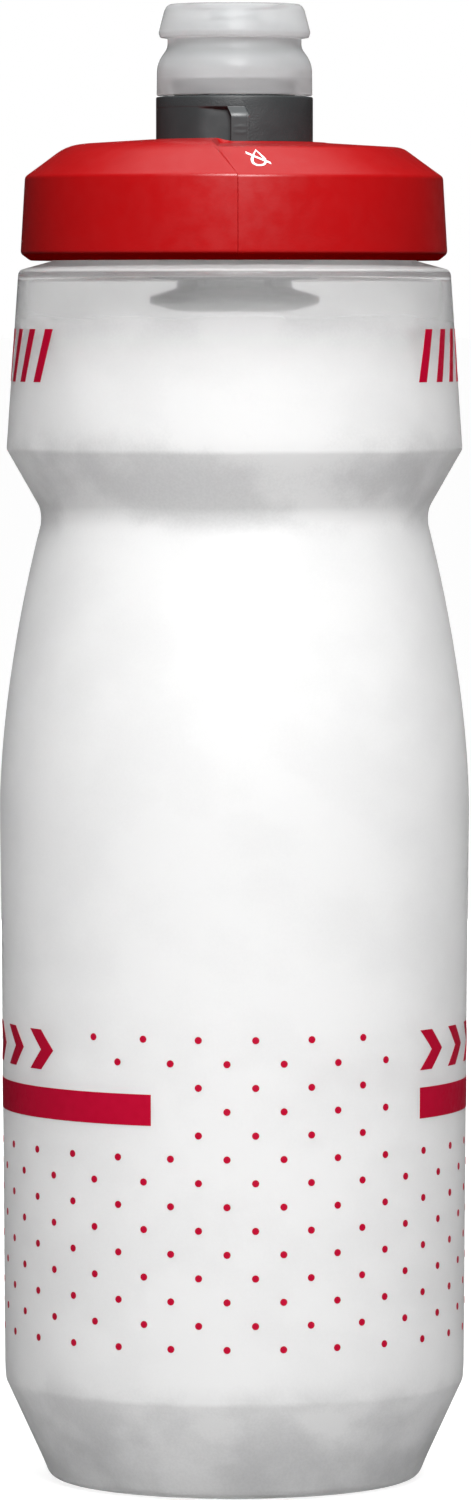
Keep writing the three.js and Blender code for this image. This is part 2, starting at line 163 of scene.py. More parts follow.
def grid_faces(columns, rows, wrap_rows):
    """Faces between neighbouring points of columns that go round the axis."""
    faces = []
    for column in range(columns):
        following = (column + 1) % columns
        for row in range(rows if wrap_rows else rows - 1):
            above = (row + 1) % rows
            here, there = column * rows, following * rows
            faces.append((here + row, there + row, there + above, here + above))
    return faces


def polar_points(angle, radius, height):
    return np.stack([radius * np.cos(angle), radius * np.sin(angle), height], axis=-1).reshape(-1, 3)


def revolve(outline, columns=192, shape=None, angles=None):
    """Points and faces of an outline of (radius, height) turned round the axis. An outline that starts on
    the axis also ends on it. shape(angle, radius, height) may move the grid before it becomes points."""
    outline = np.array(outline, float)
    if angles is None:
        angles = np.arange(columns) * 2 * math.pi / columns + FRONT
    angle, radius = np.meshgrid(angles, outline[:, 0], indexing="ij")
    _, height = np.meshgrid(angles, outline[:, 1], indexing="ij")
    if shape:
        angle, radius, height = shape(angle, radius, height)
    on_axis = outline[0, 0] < 1e-6
    return polar_points(angle, radius, height), grid_faces(len(angles), len(outline), not on_axis)


def smooth_step(low, high, value):
    t = np.clip((value - low) / (high - low), 0, 1)
    return t * t * (3 - 2 * t)


# ---- Screw thread ----

THREAD_PITCH = 5.0
THREAD_TURNS = 1.375
THREAD_HALF = 1.0  # half the ridge's width at its root
THREAD_RISE = 1.4  # how far the ridge stands out
THREAD_FADE = 0.06  # share of the thread's length over which each end fades out
NECK_THREAD_Z = 193.6
LID_THREAD_Z = NECK_THREAD_Z - 1.8
LID_THREAD_TURN = 0.375  # where the lid's thread starts, in turns from the front


def thread_swell(angle, height, start_z, start_turn):
    """How much of the full ridge stands at each spot of a wall: 1 on the crest and 0 between turns."""
    around = ((angle - FRONT) / (2 * math.pi)) % 1
    swell = np.zeros_like(angle)
    for lap in range(3):
        turn = around + lap
        along = (turn - start_turn) / THREAD_TURNS
        ends = smooth_step(0, THREAD_FADE, along) * smooth_step(0, THREAD_FADE, 1 - along)
        away = np.abs(height - (start_z + turn * THREAD_PITCH))
        swell = np.maximum(swell, ends * (1 - smooth_step(THREAD_HALF * 0.35, THREAD_HALF, away)))
    return swell


# ---- Material nodes ----


def nodes_of(name):
    """A new material, its node tree and its Principled shader."""
    material = bpy.data.materials.new(name)
    material.use_nodes = True
    tree = material.node_tree
    return material, tree, tree.nodes["Principled BSDF"]


def add(tree, kind, **settings):
    """Adds a node and sets its inputs or properties by name."""
    node = tree.nodes.new(kind)
    for key, value in settings.items():
        if key in node.inputs:
            node.inputs[key].default_value = value
        else:
            setattr(node, key, value)
    return node


def noise(tree, size_mm, detail=3.0, roughness=0.55, stretch=(1, 1, 1)):
    """Noise whose blobs are about size_mm across, in the object's own coordinates."""
    place = add(tree, "ShaderNodeTexCoord")
    mapping = add(tree, "ShaderNodeMapping", Scale=stretch)
    tree.links.new(place.outputs["Object"], mapping.inputs["Vector"])
    texture = add(tree, "ShaderNodeTexNoise", Detail=detail, Roughness=roughness)
    texture.inputs["Scale"].default_value = 1 / (size_mm * MM)
    tree.links.new(mapping.outputs["Vector"], texture.inputs["Vector"])
    return texture.outputs["Fac"]


def spread(tree, value, low, high, floor=0.3, ceiling=0.7):
    """Eases from low to high as a value goes from floor to ceiling. The defaults suit a noise."""
    ramp = add(tree, "ShaderNodeMapRange", interpolation_type="SMOOTHSTEP")
    ramp.inputs["From Min"].default_value = floor
    ramp.inputs["From Max"].default_value = ceiling
    ramp.inputs["To Min"].default_value = low
    ramp.inputs["To Max"].default_value = high
    tree.links.new(value, ramp.inputs["Value"])
    return ramp.outputs["Result"]


def tint(tree, value, first, second):
    """The first colour where a value is 0 and the second where it's 1."""
    mix = add(tree, "ShaderNodeMix", data_type="RGBA", A=(*first, 1), B=(*second, 1))
    tree.links.new(value, mix.inputs["Factor"])
    return mix.outputs["Result"]


def bumps(tree, shader, layers):
    """Stacks bump layers, each (height value, depth in millimetres), into the shader's normal."""
    normal = None
    for value, depth in layers:
        bump = add(tree, "ShaderNodeBump", Strength=1.0, Distance=depth * MM)
        tree.links.new(value, bump.inputs["Height"])
        if normal:
            tree.links.new(normal, bump.inputs["Normal"])
        normal = bump.outputs["Normal"]
    tree.links.new(normal, shader.inputs["Normal"])


def axes_of(tree, degrees=0):
    """X, Y and Z of a spot in the object's own coordinates, in metres, turned round Z first."""
    place = add(tree, "ShaderNodeTexCoord")
    mapping = add(tree, "ShaderNodeMapping", Rotation=(0, 0, math.radians(degrees)))
    parts = add(tree, "ShaderNodeSeparateXYZ")
    tree.links.new(place.outputs["Object"], mapping.inputs["Vector"])
    tree.links.new(mapping.outputs["Vector"], parts.inputs["Vector"])
    return parts.outputs


def height_share(tree, start, full):
    """0 up to the start height and 1 past the full height, in millimetres: full may be the lower one."""
    return spread(tree, axes_of(tree)["Z"], 0, 1, start * MM, full * MM)


def maths(tree, operation, first, second):
    """A maths node's output, where each value is a number or a node's output."""
    node = add(tree, "ShaderNodeMath", operation=operation)
    for socket, value in zip(node.inputs, (first, second)):
        if isinstance(value, (int, float)):
            socket.default_value = value
        else:
            tree.links.new(value, socket)
    return node.outputs["Value"]


def edge_share(tree):
    """0 where a surface faces the eye and 1 at its outline, where the look passes along the wall."""
    return add(tree, "ShaderNodeLayerWeight", Blend=0.5).outputs["Facing"]


def blend(tree, share, first, second):
    """Mixes two shaders, the second by a share that is a number or a node's output."""
    mix = add(tree, "ShaderNodeMixShader")
    if isinstance(share, (int, float)):
        mix.inputs["Fac"].default_value = share
    else:
        tree.links.new(share, mix.inputs["Fac"])
    tree.links.new(first, mix.inputs[1])
    tree.links.new(second, mix.inputs[2])
    return mix.outputs["Shader"]


WALL_IOR = 1.15  # low, so that the thin walls bend the light only a little


def see_through(tree, haze, glow_share, roughness, clarity):
    """Lets light soak through a hazy shader, and shows a share of what stands behind it, a little blurred."""
    glow = add(tree, "ShaderNodeBsdfTranslucent", Color=(0.95, 0.95, 0.95, 1))
    clear = add(tree, "ShaderNodeBsdfPrincipled", Roughness=roughness, IOR=WALL_IOR)
    clear.inputs["Base Color"].default_value = (1, 1, 1, 1)
    clear.inputs["Transmission Weight"].default_value = 1.0
    cloudy = blend(tree, glow_share, haze.outputs["BSDF"], glow.outputs["BSDF"])
    shown = blend(tree, clarity, cloudy, clear.outputs["BSDF"])
    tree.links.new(shown, tree.nodes["Material Output"].inputs["Surface"])


# Heights between which the body's wall changes, or the painted shade at its foot grows: from the first to the
# second, the change grows to full.
FOOT_CLOUD = (22, 12)
# Painted shade: the foot's colour darkens towards the floor.
FOOT_PAINTED_SHADE = (14, 0)
GROOVE_CLOUD_LOW, GROOVE_CLOUD_HIGH = (147, 152), (168, 160)
BAND_CLOUD = (174, 186)
BAND_CLEAR = (166, 190)
CLEAR_IN_BODY, CLEAR_IN_BAND = 0.3, 0.82  # share of the wall that shows what stands behind it


def frosted_plastic():
    """Translucent squeeze plastic: a cloudy white haze over a wall that shows a shade of what is close
    behind it. Its colour is darkened towards the outline as painted shade, and the wall is clearer in the
    band under the shoulder. The cloudiness is strongest at the foot, the groove and the top of the band,
    where the wall is drawn; those zones are a little darker too, and the foot's colour darkens towards
    the floor as painted shade."""
    material, tree, haze = nodes_of("frosted_plastic")
    below_shoulder = height_share(tree, SHOULDER[1] + 0.6, SHOULDER[1])
    at_foot = height_share(tree, *FOOT_CLOUD)
    above_waist = height_share(tree, *GROOVE_CLOUD_LOW)
    at_groove = maths(tree, "MULTIPLY", above_waist, height_share(tree, *GROOVE_CLOUD_HIGH))
    band_top = maths(tree, "MULTIPLY", height_share(tree, *BAND_CLOUD), below_shoulder)
    drawn = maths(tree, "MAXIMUM", maths(tree, "MAXIMUM", at_foot, at_groove), band_top)
    cloud = noise(tree, 13, detail=3, roughness=0.5, stretch=(1, 1, 1.3))
    cloud_depth = spread(tree, drawn, 0.06, 0.3, 0, 1)
    cloudy = maths(tree, "MULTIPLY", spread(tree, cloud, -1, 1, 0.35, 0.65), cloud_depth)
    speckle = spread(tree, noise(tree, 0.4, detail=1), -1, 1)
    speckled = maths(tree, "MULTIPLY", speckle, spread(tree, drawn, 0.02, 0.08, 0, 1))
    # Painted shade: the colour darkens towards the outline, where the surface turns away from the eye.
    edge = maths(tree, "MULTIPLY", maths(tree, "POWER", edge_share(tree), 1.4), 0.5)
    # Painted shade at the foot, darkest at the floor; the drawn zones are darkened a little as well.
    foot_painted_shade = maths(tree, "MULTIPLY", height_share(tree, *FOOT_PAINTED_SHADE), 0.4)
    shade = maths(tree, "ADD", spread(tree, drawn, 0.02, 0.12, 0, 1), foot_painted_shade)
    dark = maths(tree, "ADD", maths(tree, "ADD", cloudy, speckled), maths(tree, "ADD", edge, shade))
    colour = tint(tree, dark, (0.985, 0.985, 0.985), (0.42, 0.425, 0.43))
    tree.links.new(colour, haze.inputs["Base Color"])
    tree.links.new(spread(tree, cloud, 0.38, 0.46), haze.inputs["Roughness"])
    bumps(tree, haze, [(noise(tree, 22, detail=1), 0.12), (noise(tree, 0.5, detail=2), 0.006)])
    band = maths(tree, "MULTIPLY", height_share(tree, *BAND_CLEAR), below_shoulder)
    see_through(tree, haze, 0.5, 0.14, spread(tree, band, CLEAR_IN_BODY, CLEAR_IN_BAND, 0, 1))
    return material


def lid_plastic():
    """Satin red plastic: fine moulded grain, slight mottling, and a dull bevel at its bottom edge whose
    colour is darkened as painted shade.
    """
    material, tree, shader = nodes_of("lid_plastic")
    # Painted shade: the bevel at the bottom edge is darkened where it turns under the lid, and its gloss is
    # turned down.
    bevel = height_share(tree, LID_BOTTOM_Z + 1.5, LID_BOTTOM_Z + 0.9)
    mottle = spread(tree, noise(tree, 9, detail=5), 0.92, 1)
    mottle_and_painted_shade = maths(tree, "MULTIPLY", mottle, spread(tree, bevel, 1, 0, 0, 1))
    colour = tint(tree, mottle_and_painted_shade, (0.15, 0.0, 0.0), (0.36, 0.003, 0.004))
    tree.links.new(colour, shader.inputs["Base Color"])
    tree.links.new(spread(tree, noise(tree, 2.5), 0.3, 0.38), shader.inputs["Roughness"])
    tree.links.new(spread(tree, bevel, 0.35, 0, 0, 1), shader.inputs["Specular IOR Level"])
    bumps(tree, shader, [(noise(tree, 0.35, detail=2), 0.006)])
    return material


RIB_SIDE_DEG = 8.5  # the side of the pointer rib where the grain starts again


def grip_plastic():
    """Dark grey plastic with a spark-eroded grain, left smooth in the finger scoop beside each rib."""
    material, tree, shader = nodes_of("grip_plastic")
    mottle = noise(tree, 4, detail=4)
    colour = tint(tree, mottle, (0.029, 0.034, 0.035), (0.045, 0.051, 0.053))
    tree.links.new(colour, shader.inputs["Base Color"])
    tree.links.new(spread(tree, mottle, 0.36, 0.46), shader.inputs["Roughness"])
    # X times Y changes its sign every quarter turn: a rib and the scoop that leads up to it are in one
    # quarter, and the grain is in the next.
    turned = axes_of(tree, -RIB_SIDE_DEG)
    off_scoop = spread(tree, maths(tree, "MULTIPLY", turned["X"], turned["Y"]), 1, 0.08, 0, 1e-6)
    above = height_share(tree, LEDGE_Z - 0.1, LEDGE_Z + 0.1)
    grained = maths(tree, "MAXIMUM", off_scoop, above)
    grain = maths(tree, "MULTIPLY", noise(tree, 0.3, detail=3, roughness=0.6), grained)
    bumps(tree, shader, [(grain, 0.07)])
    return material


def valve_plastic():
    """Smooth dark grey plastic of the valve's inner pieces."""
    material, tree, shader = nodes_of("valve_plastic")
    mottle = noise(tree, 5, detail=3)
    colour = tint(tree, mottle, (0.05, 0.051, 0.053), (0.065, 0.066, 0.07))
    tree.links.new(colour, shader.inputs["Base Color"])
    tree.links.new(spread(tree, mottle, 0.35, 0.5), shader.inputs["Roughness"])
    bumps(tree, shader, [(noise(tree, 0.6), 0.01)])
    return material


def milky_rubber():
    """Soft clear silicone gone milky, so the spigot inside shows as a grey shade. It has faint rings, and its
    colour is darkened as painted shade along its outline, at its neck and beside the spigot."""
    material, tree, haze = nodes_of("milky_rubber")
    foot = NOZZLE_BOTTOM_Z
    # Painted shade: the colour darkens along the outline, at the neck, and below the spigot's top where the
    # spigot stands behind the wall.
    edge = spread(tree, edge_share(tree), 0, 1, 0.82, 1)
    above_belly = height_share(tree, foot + 5.2, foot + 7.4)
    neck = maths(tree, "MULTIPLY", above_belly, height_share(tree, foot + 9.4, foot + 8.6))
    spigot_painted_shade = height_share(tree, SPIGOT_TOP_Z + 0.25, SPIGOT_TOP_Z - 0.1)
    shade = maths(tree, "ADD", maths(tree, "MULTIPLY", neck, 0.38), maths(tree, "MULTIPLY", spigot_painted_shade, 0.14))
    rings = spread(tree, noise(tree, 3, detail=2, stretch=(0.15, 0.15, 1)), 0.84, 1)
    pale = maths(tree, "SUBTRACT", maths(tree, "SUBTRACT", rings, edge), shade)
    tree.links.new(tint(tree, pale, (0.2, 0.205, 0.21), (0.64, 0.66, 0.67)), haze.inputs["Base Color"])
    haze.inputs["Roughness"].default_value = 0.42
    haze.inputs["Specular IOR Level"].default_value = 0.3
    bumps(tree, haze, [(noise(tree, 0.4), 0.008)])
    see_through(tree, haze, 0.25, 0.14, 0.6)
    return material


def seal_rubber():
    """Pale, dull rubber of the washers, O-rings and port plate."""
    material, tree, shader = nodes_of("seal_rubber")
    cloud = noise(tree, 3, detail=3)
    tree.links.new(tint(tree, cloud, (0.5, 0.51, 0.52), (0.6, 0.61, 0.62)), shader.inputs["Base Color"])
    tree.links.new(spread(tree, cloud, 0.5, 0.65), shader.inputs["Roughness"])
    bumps(tree, shader, [(noise(tree, 0.4), 0.01)])
    return material


def ink(name, dark, light):
    """Screen-printed ink: nearly flat, with a slight change of density and a soft sheen."""
    material, tree, shader = nodes_of(name)
    density = noise(tree, 1.2, detail=3)
    tree.links.new(tint(tree, density, dark, light), shader.inputs["Base Color"])
    tree.links.new(spread(tree, density, 0.4, 0.55), shader.inputs["Roughness"])
    shader.inputs["Specular IOR Level"].default_value = 0.15
    bumps(tree, shader, [(noise(tree, 0.25), 0.004)])
    return material


FROSTED = frosted_plastic()
LID_RED = lid_plastic()
GRIP = grip_plastic()
VALVE = valve_plastic()
MILKY = milky_rubber()
RUBBER = seal_rubber()
CRIMSON = ink("crimson_ink", (0.38, 0.0, 0.018), (0.46, 0.0, 0.028))
WHITE_INK = ink("white_ink", (0.86, 0.86, 0.86), (0.93, 0.93, 0.93))


# ---- Bottle body ----

WALL = 1.2
DOME_RISE = 4.0  # how high the middle of the base stands off the floor
FOOT_RING = (21.5, 26.0)  # inner and outer radius of the ring it stands on
SIDE_FOOT = (35.9, 15.6)  # where the cone of the foot meets the side
WIDEST_Z = 105
WAIST_R = 30.3
GROOVE_Z = 150.8
BAND_R, BAND_Z = 35.6, 162.3  # bottom edge of the band
NECK_R = 28.3
NECK_Z = LID_BOTTOM_Z
NECK_BORE_R = 26.2


def body_outside():
    """The outer wall, from the middle of the domed base up to the neck's foot."""
    hip = curve((BODY_R, WIDEST_Z), (BODY_R, 118), (34.1, 135), (WAIST_R + 0.05, 149.6), steps=40)
    low = [
        ((0, DOME_RISE), 0),
        ((12, 3.3), 6),
        ((20, 0.5), 2),
        ((FOOT_RING[0], 0), 0.8),
        ((FOOT_RING[1], 0), 0.5),
        ((29.0, 0.25), 2.2),
        ((30.0, 2.8), 1.6),
        (SIDE_FOOT, 0.5),
        ((36.05, 17.7), 1),
        ((36.4, 68), 20),
        ((BODY_R, WIDEST_Z), 0),
    ]
    high = [
        (hip[-1], 0),
        ((WAIST_R - 0.05, GROOVE_Z), 0.8),
        ((WAIST_R + 0.15, 152.4), 1.2),
        ((34.9, 160.2), 1.4),
        ((BAND_R + 0.05, 161.5), 0.5),
        ((BAND_R, BAND_Z), 0.5),
        (SHOULDER, 0.4),
        ((33.4, 189.5), 0.5),
        ((NECK_R, NECK_Z), 0.4),
        ((NECK_R, NECK_Z + 0.8), 0),
    ]
    return rounded(low) + hip[:-1] + rounded(high)


BODY_OUTSIDE = body_outside()


def wall_radius(z):
    """Radius of the body's outer wall at a height above its base."""
    wall = [p for p in BODY_OUTSIDE if p[0] > 25 and p[1] > 0.2]
    heights = [p[1] for p in wall]
    return np.interp(z, heights, [p[0] for p in wall])


def bottle_body():
    """The hollow body with its neck: the outer wall, over the lip, and down the inner wall."""
    neck = straight((NECK_R, NECK_Z + 0.8), (NECK_R, LIP_Z - 0.5), 56)
    lip = [
        ((NECK_R, LIP_Z - 0.5), 0),
        ((NECK_R, LIP_Z), 0.5),
        ((NECK_BORE_R, LIP_Z), 0.5),
        ((NECK_BORE_R, LIP_Z - 1), 0),
    ]
    inside_high = [
        ((NECK_BORE_R, LIP_Z - 1), 0),
        ((NECK_BORE_R, NECK_Z - WALL), 1.2),
        ((SHOULDER[0] - WALL, SHOULDER[1] - 0.6), 1.0),
        ((BAND_R - WALL, BAND_Z), 1.2),
        ((WAIST_R - WALL, 153.0), 1.5),
        ((WAIST_R - WALL, 148.6), 0),
    ]
    side_r = BODY_R - WALL
    inner_hip = curve((WAIST_R - WALL, 148.6), (34.1 - WALL, 135), (side_r, 118), (side_r, WIDEST_Z), 40)
    inside_low = [
        ((side_r, WIDEST_Z), 0),
        ((SIDE_FOOT[0] - WALL, SIDE_FOOT[1] + 0.6), 1.5),
        ((28.7, 3.0), 1.6),
        ((FOOT_RING[1] - 1.0, WALL), 1.0),
        ((FOOT_RING[0], WALL + 0.3), 1.0),
        ((12, 3.3 + WALL), 6),
        ((0, DOME_RISE + WALL), 0),
    ]
    outline = BODY_OUTSIDE + neck + rounded(lip)[1:] + rounded(inside_high)[1:]
    outline += inner_hip + rounded(inside_low)[1:]

    def threaded(angle, radius, height):
        on_neck = (radius > NECK_R - 0.01) & (radius < NECK_R + 0.01) & (height > NECK_Z + 1)
        rise = thread_swell(angle, height, NECK_THREAD_Z, 0) * THREAD_RISE
        return angle, radius + np.where(on_neck, rise, 0), height

    points, faces = revolve(outline, columns=256, shape=threaded)
    return make_piece("body_shell", "bottle", FROSTED, points, faces, ["bottle_body"])


# ---- Printing on the body ----

INK = 0.05  # thickness of the printing
INK_LIFT = 0.008  # gap under it
DOT_R = 0.56
DOT_COLUMNS = 26
DOT_PHASE = -1.8
DOT_ROWS = 14
DOT_TOP_Z = 71.8
DOT_STEP_Z = 3.66
MARK_ROWS, MARK_DOTS = 2, (-41, 44)  # rows beside the marks, and the degrees their dots span
BAR_ROWS, BAR_DOTS = 5, (-12, 44)  # rows down to the foot of the bars, and the degrees those span


class Slabs:
    """Collects thin closed slabs that lie on a surface. surface(*spot, lift) gives points in millimetres, and
    each slab's place(u, v) gives the spots of a grid whose u and v run from 0 to 1."""

    def __init__(self, surface):
        self.surface = surface
        self.points = []
        self.faces = []

    def add(self, place, across, along):
        u, v = np.meshgrid(np.linspace(0, 1, across + 1), np.linspace(0, 1, along + 1), indexing="ij")
        spot = place(u, v)
        start = len(self.points)
        for lift in (INK_LIFT, INK_LIFT + INK):
            self.points.extend(self.surface(*spot, lift).reshape(-1, 3).tolist())
        size = (across + 1) * (along + 1)
        for i in range(across):
            for j in range(along):
                a = start + i * (along + 1) + j
                quad = (a, a + along + 1, a + along + 2, a + 1)
                self.faces.append(quad[::-1])
                self.faces.append(tuple(q + size for q in quad))
        rim = [(i, 0) for i in range(across)] + [(across, j) for j in range(along)]
        rim += [(across - i, along) for i in range(across)] + [(0, along - j) for j in range(along)]
        ids = [start + i * (along + 1) + j for i, j in rim]
        for a, b in zip(ids, ids[1:] + ids[:1]):
            self.faces.append((a, b, b + size, a + size))


def on_body(degrees, z, lift):
    """Spots on the body's wall at an angle and height, lifted off it."""
    radius = wall_radius(z) + lift
    angle = FRONT + np.radians(degrees)
    return np.stack([radius * np.cos(angle), radius * np.sin(angle), z], axis=-1)


def disc(degrees, z, radius):
    """A round spot as a place function: the square grid squeezed into a circle."""
    per_mm = math.degrees(1 / float(wall_radius(z)))

    def place(u, v):
        x, y = 2 * u - 1, 2 * v - 1
        round_x = x * np.sqrt(1 - y * y / 2)
        round_y = y * np.sqrt(1 - x * x / 2)
        return degrees + round_x * radius * per_mm, z + round_y * radius

    return place


def has_dot(degrees, row):
    """The dots leave room for the marks and the bars, which repeat on both sides of the bottle."""
    side = (degrees + 90) % 180 - 90
    if row < MARK_ROWS:
        return MARK_DOTS[0] < side < MARK_DOTS[1]
    if row < BAR_ROWS:
        return BAR_DOTS[0] < side < BAR_DOTS[1]
    return True


def print_dots():
    """Rows of dots all the way round, where every second row is shifted by half a step."""
    slabs = Slabs(on_body)
    step = 360 / DOT_COLUMNS
    for row in range(DOT_ROWS):
        z = DOT_TOP_Z - row * DOT_STEP_Z
        shift = 0.5 if row % 2 == 0 else 0
        for column in range(DOT_COLUMNS):
            degrees = DOT_PHASE + (column + shift) * step
            if has_dot(degrees, row):
                slabs.add(disc(degrees, z, DOT_R), 6, 6)
    return make_piece("print_dots", "bottle", CRIMSON, slabs.points, slabs.faces)


# The marks and bars: heights in millimetres, and angles and widths in degrees
BAR_FROM, BAR_TO = 51.9, 159.4
BAR_LOW_Z, BAR_HIGH_Z = 58.5, 63.3
CHEVRONS, CHEVRON_STEP = 6, 13.6
CHEVRON_WIDTH, CHEVRON_POINT = 5, 5
CHEVRON_LOW_Z, CHEVRON_HIGH_Z = 66.0, 72.2
STRIPES, STRIPE_STEP, STRIPES_FROM = 8, 9.0, 54.4
STRIPE_WIDTH, STRIPE_LEAN = 3.6, 4.6
STRIPE_LOW_Z, STRIPE_HIGH_Z = 172.1, 180.3


def bar(left):
    def place(u, v):
        return left + (BAR_TO - BAR_FROM) * u, BAR_LOW_Z + (BAR_HIGH_Z - BAR_LOW_Z) * v

    return place


def chevron(left):
    def place(u, v):
        point = CHEVRON_POINT * (1 - abs(2 * v - 1))
        return left + CHEVRON_WIDTH * u + point, CHEVRON_LOW_Z + (CHEVRON_HIGH_Z - CHEVRON_LOW_Z) * v

    return place


def stripe(left):
    def place(u, v):
        height = STRIPE_LOW_Z + (STRIPE_HIGH_Z - STRIPE_LOW_Z) * v
        return left + STRIPE_WIDTH * u + STRIPE_LEAN * v, height

    return place


def print_bars():
    slabs = Slabs(on_body)
    for side in (0, 180):
        slabs.add(bar(side + BAR_FROM), 96, 6)
    return make_piece("print_bars", "bottle", CRIMSON, slabs.points, slabs.faces)


def print_marks():
    """Plain sporting patterns on both sides: chevrons above the bars and slanted stripes on the band."""
    slabs = Slabs(on_body)
    for side in (0, 180):
        for index in range(CHEVRONS):
            slabs.add(chevron(side + BAR_FROM + index * CHEVRON_STEP), 6, 12)
        for index in range(STRIPES):
            slabs.add(stripe(side + STRIPES_FROM + index * STRIPE_STEP), 6, 10)
    return make_piece("print_marks", "bottle", CRIMSON, slabs.points, slabs.faces)


# ---- Lid ----

LID_BORE_R = 30.2
SKIRT_R = 33.2
RIDGE = (32.4, 203.9)  # where the skirt meets the bevel, as (radius, height)
DECK_EDGE = (26.4, 208.3)  # where the bevel meets the deck
DECK_Z = 209.3
DECK_BORE_R = 12.6  # the hole in the deck that the collar turns in
RECESS_Z = 208.6  # floor of that hole
CEILING_Z = 205.0
CHIMNEY_R = 10.2  # the spout tube that the collar turns on
CHIMNEY_BORE_R = 8.5
BOSS_R = 13.6  # the ring under the lid that holds the valve cage
BOSS_WALL = 1.6
BOSS_BOTTOM_Z = 197.2
STEP_RISE, STEP_OUT = 0.8, 0.3  # how far the lid's section rises and grows outwards over its turn
SEAM_DEG = 1.05
SEAM_LEAN = -6.6  # how far round the seam has leaned by the time it reaches the deck
SEAM_WIDTH = 0.25
SEAM_SLOPE = 1.9  # how much wider the seam is at the deck, where it's a short slope


def lid_section(turned):
    """The lid's outline at one point of its turn: 0 just past the seam and 1 just before it. A point is
    (radius, height, lean), where lean is how much of the seam's slant it takes."""
    rise = STEP_RISE * turned
    out = STEP_OUT * turned
    soft = 0.5 + 2.2 * turned
    top = [
        ((LID_BORE_R, LID_BOTTOM_Z, 0), 0.3),
        ((SKIRT_R - 1.3, LID_BOTTOM_Z, 0), 0.3),
        ((SKIRT_R + out, LID_BOTTOM_Z + 1.1, 0), 0.5),
        ((RIDGE[0] + 0.1 + out, RIDGE[1] + 0.1 * turned, 0), 0.45),
        ((DECK_EDGE[0] - 0.5 * turned, DECK_EDGE[1] + rise, 1), soft),
        ((DECK_BORE_R + 2.2, DECK_Z - 0.3 + rise, 1.4), 0.3),
        ((DECK_BORE_R + 1.6, DECK_Z, 0.4), 0.15),
        ((DECK_BORE_R, DECK_Z, 0.2), 0.15),
        ((DECK_BORE_R, RECESS_Z, 0), 0.1),
        ((CHIMNEY_R, RECESS_Z, 0), 0.1),
        ((CHIMNEY_R, CHIMNEY_TOP_Z, 0), 0.3),
        ((CHIMNEY_BORE_R, CHIMNEY_TOP_Z, 0), 0.3),
        ((CHIMNEY_BORE_R, CEILING_Z, 0), 0.2),
        ((BOSS_R, CEILING_Z, 0), 0.2),
        ((BOSS_R, BOSS_BOTTOM_Z, 0), 0.3),
        ((BOSS_R + BOSS_WALL, BOSS_BOTTOM_Z, 0), 0.3),
        ((BOSS_R + BOSS_WALL + 0.3, CEILING_Z, 0), 0.5),
        ((28.8, CEILING_Z, 0), 0.4),
        ((LID_BORE_R, LIP_Z - 0.8, 0), 0.6),
    ]
    bore = straight((LID_BORE_R, LIP_Z - 1.6, 0), (LID_BORE_R, LID_BOTTOM_Z + 0.6, 0), 44)
    return rounded(top, steps=5, closed=True) + bore[:-1]


def lid():
    """The lid as one spiral: its section grows over a whole turn and steps back at the seam."""
    columns = 288
    sections = np.array([lid_section(k / (columns - 1)) for k in range(columns)])
    turned = np.arange(columns)[:, None] / (columns - 1)
    lean = sections[:, :, 2]
    around = 2 * math.pi - np.radians(SEAM_WIDTH + SEAM_SLOPE * lean)
    angle = FRONT + np.radians(SEAM_DEG + SEAM_LEAN * lean) + turned * around
    radius, height = sections[:, :, 0], sections[:, :, 1]
    in_bore = (np.abs(radius - LID_BORE_R) < 0.01) & (height < LIP_Z - 1.5)
    inwards = thread_swell(angle, height, LID_THREAD_Z, LID_THREAD_TURN) * THREAD_RISE
    radius = radius - np.where(in_bore, inwards, 0)
    points = polar_points(angle, radius, height)
    faces = grid_faces(columns, sections.shape[1], True)
    return make_piece("lid_shell", "lid", LID_RED, points, faces, replaces=["lid"], sharp=28)


ICON_DEG = 7.1
ICON_UP = 4.3  # from the ridge to the drop's middle, up the bevel
ICON_R = 29.6  # the lid's radius there
ICON_TILT = 4
ICON_STROKE = 0.42
DROP_HALF_WIDTH, DROP_HALF_HEIGHT = 1.4, 2.05
STRIKE_FROM, STRIKE_BY = (-1.75, 1.6), (3.5, -3.1)


def on_bevel(degrees, up, lift):
    """Spots on the lid's bevel, up mm from the ridge towards the deck, lifted off it."""
    foot = np.array([RIDGE[0] + 0.1, RIDGE[1]])
    head = np.array(DECK_EDGE)
    slope = (head - foot) / np.linalg.norm(head - foot)
    radius = foot[0] + slope[0] * up + slope[1] * lift
    height = foot[1] + slope[1] * up - slope[0] * lift
    angle = FRONT + np.radians(degrees)
    return np.stack([radius * np.cos(angle), radius * np.sin(angle), height], axis=-1)


def drop_outline(turn, grow):
    """A drop's outline at a share of its way round from the tip, grown outwards, as (x, y)."""
    around = 2 * math.pi * turn
    x = DROP_HALF_WIDTH * np.sin(around) * np.sin(around / 2) ** 1.4
    y = DROP_HALF_HEIGHT * np.cos(around) + 0.1
    reach = np.hypot(x, y + 0.5)
    return x * (1 + grow / reach), y + grow * (y + 0.5) / reach


def icon(slabs, degrees, struck):
    """A drop on the lid's bevel, struck through where the valve is shut."""
    per_mm = math.degrees(1 / ICON_R)
    tilt = math.radians(ICON_TILT)

    def lay(x, y):
        across = x * math.cos(tilt) - y * math.sin(tilt)
        along = x * math.sin(tilt) + y * math.cos(tilt)
        return degrees + across * per_mm, ICON_UP + along

    def outline(u, v):
        return lay(*drop_outline(u, (v - 0.5) * ICON_STROKE))

    def strike(u, v):
        x = STRIKE_FROM[0] + STRIKE_BY[0] * u
        y = STRIKE_FROM[1] + STRIKE_BY[1] * u
        return lay(x, y + (v - 0.5) * ICON_STROKE * 1.3)

    slabs.add(outline, 64, 2)
    if struck:
        slabs.add(strike, 16, 2)


def lid_icons():
    """The struck-out drop where the rib points when the valve is shut, and a plain one where it's open."""
    slabs = Slabs(on_bevel)
    icon(slabs, ICON_DEG, True)
    icon(slabs, ICON_DEG + 90, False)
    return make_piece("lid_icons", "lid", WHITE_INK, slabs.points, slabs.faces)


# ---- Cuts ----


